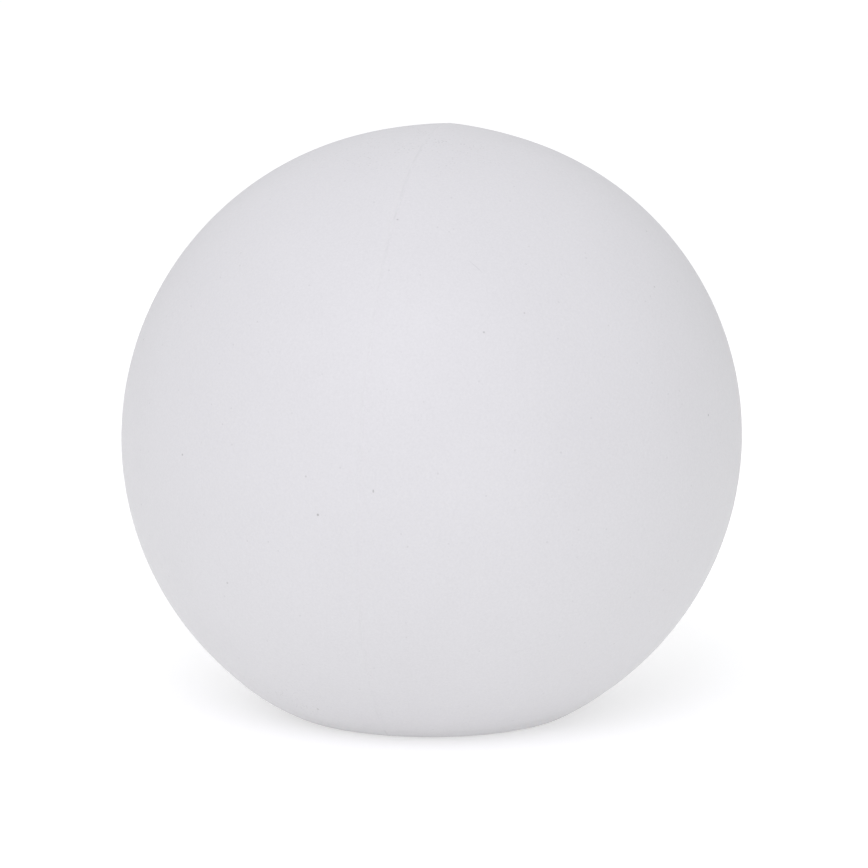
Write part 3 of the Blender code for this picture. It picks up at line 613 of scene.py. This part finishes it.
def seam_relief(points):
    """How far the outside stands proud: a fine ridge and groove on the seam, and the crown's lift."""
    across = points @ np.array([math.cos(SEAM_AZIMUTH), math.sin(SEAM_AZIMUTH), 0.0])
    height = points[:, 2] - CENTRE_Z
    latitude = np.arcsin(np.clip(height / RADIUS, -1, 1))
    along = np.arctan2(height, -points[:, 1])
    across = across - seam_offset(height)
    off = across - 0.0004 * np.sin(5.0 * along) - 0.0002 * np.sin(13.0 * along + 1.0)
    strength = 0.75 + 0.25 * np.sin(9.0 * along)
    narrow, ridge_height, groove_depth, crown_lift = 0.0004, 0.00012, 0.00008, 0.00142
    ridge = ridge_height * np.exp(-(off / narrow) ** 2)
    groove = groove_depth * np.exp(-((off - 0.0009) / narrow) ** 2)
    lift = crown_lift * np.exp(-np.abs((across - 0.0008) / 0.019) ** 1.35)
    near_crown = np.clip((latitude - math.radians(38)) / math.radians(42), 0, 1)
    return strength * (ridge - groove) + lift * near_crown ** 2 * (3 - 2 * near_crown)


def unevenness(points):
    """How a moulded globe is out of true: a little oval, and fuller above the seat on its left."""
    x, height = points[:, 0], points[:, 2] - CENTRE_Z
    azimuth = np.degrees(np.arctan2(x, -points[:, 1]))
    latitude = np.degrees(np.arcsin(np.clip(height / RADIUS, -1, 1)))
    fuller = np.exp(-((azimuth + 90) / 55) ** 2 - ((latitude + 56) / 9) ** 2)
    clear_of_seat = np.clip((points[:, 2] - 0.001) / 0.012, 0, 1)
    oval, fullness, spread = 0.0009, 0.0005, 0.0012
    outward = (oval * x * height / RADIUS ** 2 + fullness * fuller) * clear_of_seat
    at_rim = np.exp(-((azimuth + 66) / 42) ** 2 - ((points[:, 2] - 0.004) / 0.009) ** 2)
    sideways = spread * at_rim
    return outward, sideways


def lathe(name, profile, count=96, lean=None, relief=None, ring=False, at=(0, 0)):
    """A piece turned about Z. A ring's profile is closed; any other starts and ends on the axis."""
    rings = np.array(profile if ring else profile[1:-1], float)
    even = np.linspace(0, 2 * math.pi, count, endpoint=False)
    angles = lean(rings) if lean else np.repeat(even[None, :], len(rings), axis=0)
    count = angles.shape[1]
    points = np.stack([rings[:, 0, None] * np.cos(angles), rings[:, 0, None] * np.sin(angles),
                       np.repeat(rings[:, 1, None], count, axis=1)], axis=-1).reshape(-1, 3)
    if not ring:
        points = np.concatenate([points, [(0, 0, profile[0][1]), (0, 0, profile[-1][1])]])
    if relief is not None:
        points = relief(points)
    top, bottom = len(rings) * count, len(rings) * count + 1
    faces = []
    for j in range(count):
        k = (j + 1) % count
        for i in range(len(rings) if ring else len(rings) - 1):
            a, b = i * count, (i + 1) % len(rings) * count
            faces.append((a + j, b + j, b + k, a + k))
        if not ring:
            last = (len(rings) - 1) * count
            faces += [(top, j, k), (bottom, last + k, last + j)]
    return solid(name, points + np.array([*at, 0]), faces)


def globe_skin():
    def relief(points):
        out = points - np.array([0, 0, CENTRE_Z])
        reach = np.linalg.norm(out, axis=1)
        rim = (points[:, 2] < RIM_ROUND) & (np.hypot(points[:, 0], points[:, 1]) > 0.07)
        outside = (reach > RADIUS - 0.0005) | (rim & (reach > RADIUS - WALL + 0.0005))
        outward, sideways = unevenness(points)
        proud = (seam_relief(points) + outward) * outside
        level = out * (1, 1, 0) / np.maximum(np.hypot(out[:, 0], out[:, 1]), 1e-6)[:, None]
        return (points + out / np.maximum(reach, 1e-6)[:, None] * proud[:, None]
                + level * (sideways * outside)[:, None])

    skin = lathe("globe_skin", shell_profile(), lean=leaning_columns, relief=relief)
    fit(skin, "polyethylene", "globe", "globe_shell")


# ---- the neck ----
def screw_places():
    return on_circle(RING_SCREW_CIRCLE, 6, 30)


def neck_ring():
    low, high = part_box("neck_ring")
    gasket_low, gasket_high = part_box("neck_gasket")
    shelf = gasket_low.z - GAP
    profile = rounded([(RING_ROOT, high.z, 0.0006), (TUBE_RADIUS, high.z, 0.0006),
                       (TUBE_RADIUS, shelf), (high.x, shelf, 0.0003), (high.x, low.z, 0.0008),
                       (RING_ROOT, low.z, 0.0006)])
    ring = lathe("neck_ring_piece", profile, 160, ring=True)
    combine(ring, [ridge(RING_ROOT + 0.0006, RING_CREST, THREAD_LOW, THREAD_START)], 'UNION')
    holes = [drum(RING_SCREW_HOLE, low.z - 0.001, gasket_high.z, at, 32) for at in screw_places()]
    fit(combine(ring, holes), "white_abs", "globe", "neck_ring")

    flat = rounded([(GASKET_BORE, gasket_high.z, 0.0002), (gasket_high.x, gasket_high.z, 0.0003),
                    (gasket_high.x, gasket_low.z, 0.0003),
                    (GASKET_BORE, gasket_low.z, 0.0002)], 2)
    gasket = lathe("neck_gasket_piece", flat, 128, ring=True)
    holes = [drum(RING_SCREW_HOLE, gasket_low.z - 0.001, gasket_high.z + 0.001, at, 32)
             for at in screw_places()]
    fit(combine(gasket, holes), "grey_silicone", "globe", "neck_gasket")


def neck_screws():
    """Pan heads with a cross recess, each turned its own way."""
    for i in range(1, 7):
        low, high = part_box(f"neck_screw_{i}")
        middle = (low + high) / 2
        head, tall, top = (high.x - low.x) / 2, 0.0019, high.z - low.z
        crown = [(0, 0), (head * 0.35, 0.00004), (head * 0.62, 0.00020), (head * 0.82, 0.00048),
                 (head * 0.95, 0.00095), (head, 0.0014)]
        shank = 0.0020
        profile = crown + [(head, tall), (shank, tall), (shank, top - 0.0004), (0.0016, top), (0, top)]
        screw = lathe(f"neck_screw_piece_{i}", profile, 48)
        reach, half = head * 0.56, head * 0.13
        combine(screw, [slab((-reach, reach), (-half, half), (-0.001, 0.0011)),
                        slab((-half, half), (-reach, reach), (-0.001, 0.0011))])
        screw.data.transform(Matrix.Rotation(1.3 * i, 4, 'Z'))
        screw.location = (middle.x, middle.y, low.z)
        fit(screw, "stainless_steel", "globe", f"neck_screw_{i}")


def module_seal():
    low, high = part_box("module_seal")
    section = (high.z - low.z) / 2
    circle = arc((high.x - section, (low.z + high.z) / 2), section, 90, -270, 20)[:-1]
    seal = lathe("module_seal_piece", circle, 160, ring=True)
    fit(seal, "grey_silicone", "seal", "module_seal")


# ---- the module's housing ----
def finger_pocket(side):
    """The D-shaped hollow on one side of the grip bar, with soft corners."""
    middle = (BAR_HALF_WIDTH + POCKET_RADIUS) / 2
    turn = np.linspace(0, 2 * math.pi, 200, endpoint=False)

    def outline(grow):
        across, up = np.cos(turn), np.sin(turn)
        round_side = -middle * up + np.sqrt((POCKET_RADIUS + grow) ** 2 - (middle * across) ** 2)
        flat = (middle - BAR_HALF_WIDTH + grow) / np.maximum(-up, 0.001)
        flat_side = np.where(up < -0.001, flat, 1e3)
        reach = (round_side ** -18.0 + flat_side ** -18.0) ** (-1 / 18)
        return list(zip(side * reach * across, side * (middle + reach * up)))

    return hollow(outline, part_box("module_housing")[0].z, POCKET_CEILING, 0.0007, 0.003)


def housing_outside():
    low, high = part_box("module_housing")
    seal_low, seal_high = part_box("module_seal")
    section = (seal_high.z - seal_low.z) / 2
    circle, groove = seal_high.x - section, section + 0.0004
    depth = FLANGE_TOP - 0.0008
    profile = rounded([(0, high.z), (BARREL_RADIUS, high.z, 0.0004), (BARREL_RADIUS, FLANGE_TOP, 0.0008),
                       (circle - groove, FLANGE_TOP), (circle - groove, depth, 0.0003),
                       (circle + groove, depth, 0.0003), (circle + groove, FLANGE_TOP),
                       (high.x, FLANGE_TOP, 0.0004), (high.x, low.z, 0.0014), (0.0402, low.z),
                       (0.0400, low.z + 0.0002), (0.0396, low.z + 0.0002), (0.0394, low.z),
                       (0, low.z)])
    housing = lathe("module_housing_piece", profile, 160)
    button, plug = middle_of("power_button"), middle_of("charge_plug")
    return combine(housing, [
        finger_pocket(1), finger_pocket(-1),
        hollow(disc(0.0080, button), low.z, low.z + 0.0006, 0.0002, 0.0002),
        hollow(capsule(0.0026, STRAP_ANCHOR_X, plug[0]), low.z, SINK_CEILING, 0.0003, 0.0003),
        hollow(disc(0.0074, plug), low.z, SINK_CEILING, 0.0003, 0.0003),
        hollow(disc(0.0031, (STRAP_ANCHOR_X, 0), 48), low.z, SINK_CEILING, 0.0003, 0.0003)])


def middle_of(node):
    low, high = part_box(node)
    return ((low.x + high.x) / 2, (low.y + high.y) / 2)


def module_housing():
    housing = housing_outside()
    low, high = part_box("module_housing")
    out = low.z - 0.002
    button, plug = middle_of("power_button"), middle_of("charge_plug")
    thread = ridge(BARREL_RADIUS - 0.0006, BARREL_CREST, THREAD_LOW + THREAD_PITCH / 2, THREAD_START)
    combine(housing, [thread], 'UNION')
    combine(housing, [
        drum(CAVITY_RADIUS, CAVITY_FLOOR, high.z + 0.002, sides=96),
        slab((-0.030, 0.037), (-0.0085, 0.0085), (TRENCH_FLOOR, CAVITY_FLOOR + 0.002)),
        drum(0.0058, out, TRENCH_FLOOR + 0.001, button, 64),
        drum(0.0046, out, TRENCH_FLOOR + 0.001, plug, 64),
        drum(0.0015, out, TRENCH_FLOOR - 0.0006, (STRAP_ANCHOR_X, 0), 24)])
    floor, top = TRENCH_FLOOR - 0.0004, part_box("io_board")[0].z - GAP
    posts = [post(0.0025, 0.0013, floor, top, 0.008, middle_of(f"io_board_screw_{i}"))
             for i in (1, 2)]
    floor, top = CAVITY_FLOOR - 0.001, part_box("control_board")[0].z - GAP
    posts += [post(0.0028, 0.0018, floor, top, 0.010, middle_of(f"spacer_{i}")) for i in (1, 2)]
    posts += [post(0.0032, 0.0018, 0.0480, high.z - 0.0005, 0.009, at)
              for at in on_circle(LENS_SCREW_CIRCLE, 4, 45)]
    fit(combine(housing, posts, 'UNION'), "white_abs", "module", "module_housing", smooth=32)


def post(radius, hole, low, high, depth, at):
    """A moulded post with a blind screw hole in its top."""
    return combine(drum(radius, low, high, at, 32), [drum(hole, high - depth, high + 0.001, at, 16)])


# ---- the button, the plug and its strap, and the lens ----
def power_button():
    low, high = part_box("power_button")
    face, wide = 0.0054, (high.x - low.x) / 2
    shelf = TRENCH_FLOOR + 0.0004
    profile = rounded([(0, high.z), (0.0018, high.z, 0.0003), (0.0018, shelf + 0.0008),
                       (wide, shelf + 0.0008), (wide, shelf), (face, shelf), (face, low.z, 0.0009),
                       (0.0036, low.z, 0.0005), (0.0029, low.z + 0.0005, 0.0005),
                       (0, low.z + 0.0007)], 5)
    profile = profile[:-1] + [(0.0012, low.z + 0.00068), (0, low.z + 0.0007)]
    piece = lathe("power_button_piece", profile, 96, at=middle_of("power_button"))
    fit(piece, "grey_silicone", "button", "power_button")


def button_boot():
    """The thin sleeve that keeps water out round the button's stem and gives as it is pressed."""
    low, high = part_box("button_boot")
    foot, top = low.z, high.z
    wide = (high.x - low.x) / 2
    profile = rounded([(0.0022, top, 0.0002), (0.0030, top, 0.0003), (0.0032, top - 0.0012, 0.0003),
                       (wide - 0.0003, foot + 0.0014, 0.0004), (wide, foot + 0.0010, 0.0002),
                       (wide, foot), (0.0075, foot), (0.0075, foot + 0.0012, 0.0003),
                       (0.0024, top - 0.0011, 0.0003)], 4)
    at = middle_of("button_boot")
    boot = lathe("button_boot_piece", profile, 72, ring=True, at=at)
    fit(boot, "grey_silicone", None, "button_boot")
    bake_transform(boot)


def charge_plug():
    low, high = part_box("charge_plug")
    x, y = middle_of("charge_plug")
    wide, lip = (high.x - low.x) / 2, 0.0033
    profile = rounded([(0, high.z), (0.0042, high.z, 0.0007), (0.0042, lip), (wide, lip, 0.0003),
                       (wide, low.z, 0.0004), (0.0052, low.z, 0.0003),
                       (0.0049, low.z + 0.0003, 0.0003), (0, low.z + 0.0003)], 4)
    plug = lathe("charge_plug_piece", profile, 96, at=(x, y))
    grips = [slab((x - 0.0030 + abs(k) * 0.0005, x + 0.0030 - abs(k) * 0.0005),
                  (y + k * 0.0016 - 0.0003, y + k * 0.0016 + 0.0003),
                  (low.z + 0.00005, low.z + 0.0006)) for k in (-1, 0, 1)]
    fit(combine(plug, grips, 'UNION'), "grey_silicone", "plug", "charge_plug")


def plug_strap():
    """A flat strap, thinned at three folds, from its anchor in the housing to the plug's edge."""
    low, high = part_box("plug_strap")
    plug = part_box("charge_plug")[0]
    top = SINK_CEILING - GAP
    start, end = STRAP_ANCHOR_X, plug.x + 0.0006
    half, fold_depth, fold_width, folds = 0.0020, 0.00028, 0.0006, (0.0045, 0.0070, 0.0095)
    count, points, faces = 48, [], []
    for i in range(count + 1):
        x = start + (end - start) * i / count
        dip = fold_depth * sum(math.exp(-((x - start - fold) / fold_width) ** 2) for fold in folds)
        for y, z in ((-half, low.z + 0.00015 + dip), (-half + 0.0002, low.z + dip),
                     (half - 0.0002, low.z + dip), (half, low.z + 0.00015 + dip),
                     (half, top - 0.00012), (half - 0.00015, top),
                     (-half + 0.00015, top), (-half, top - 0.00012)):
            points.append((x, y, z))
        if i:
            b = 8 * (i - 1)
            faces += [(b + j, b + 8 + j, b + 8 + (j + 1) % 8, b + (j + 1) % 8) for j in range(8)]
    faces += [tuple(range(8)), tuple(range(8 * count + 7, 8 * count - 1, -1))]
    strap = solid("plug_strap_piece", points, faces)
    pad = rounded([(0, top), (0.0026, top, 0.0002), (0.0026, low.z, 0.0003), (0.0013, low.z, 0.0002),
                   (0.0010, low.z + 0.0003), (0, low.z + 0.0003)], 3)
    pad = lathe("cutter", pad, 48, at=(start, 0))
    combine(strap, [pad, drum(0.0012, top - 0.0004, high.z, (start, 0), 24)], 'UNION')
    fit(strap, "grey_silicone", None, "plug_strap")
    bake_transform(strap)


def lens_dome():
    low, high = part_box("lens_dome")
    lens, wall, rise, flange = 0.032, 0.002, 0.018, 0.0641
    spring = high.z - rise
    quarter = np.radians(np.linspace(90, 0, 33))
    outer = [(lens * math.cos(a), spring + rise * math.sin(a)) for a in quarter]
    inner = [((lens - wall) * math.cos(a), spring + (rise - wall) * math.sin(a))
             for a in quarter[::-1]]
    rim = rounded([outer[-1], (lens, flange, 0.0005), (high.x, flange, 0.0003),
                   (high.x, low.z, 0.0002), (lens - wall, low.z), inner[0]], 3)
    profile = [(0, high.z)] + outer[1:] + rim[1:-1] + inner[:-1] + [(0, high.z - wall)]
    dome = lathe("lens_dome_piece", profile, 128)
    holes = [drum(0.0018, low.z - 0.001, flange + 0.001, at, 24)
             for at in on_circle(LENS_SCREW_CIRCLE, 4, 45)]
    fit(combine(dome, holes), "frosted_lens", "module", "lens_dome")


def finish_nodes():
    """Gives each CAD node that still shows the material of its own slot."""
    for node in NODES.values():
        slot = node.data.materials[0].name.split(".")[0]
        node.data.materials[0] = MATERIALS[slot]


set_camera()
set_stage()
MATERIALS = all_materials()
globe_skin()
neck_ring()
neck_screws()
module_seal()
module_housing()
power_button()
button_boot()
charge_plug()
plug_strap()
lens_dome()
finish_nodes()
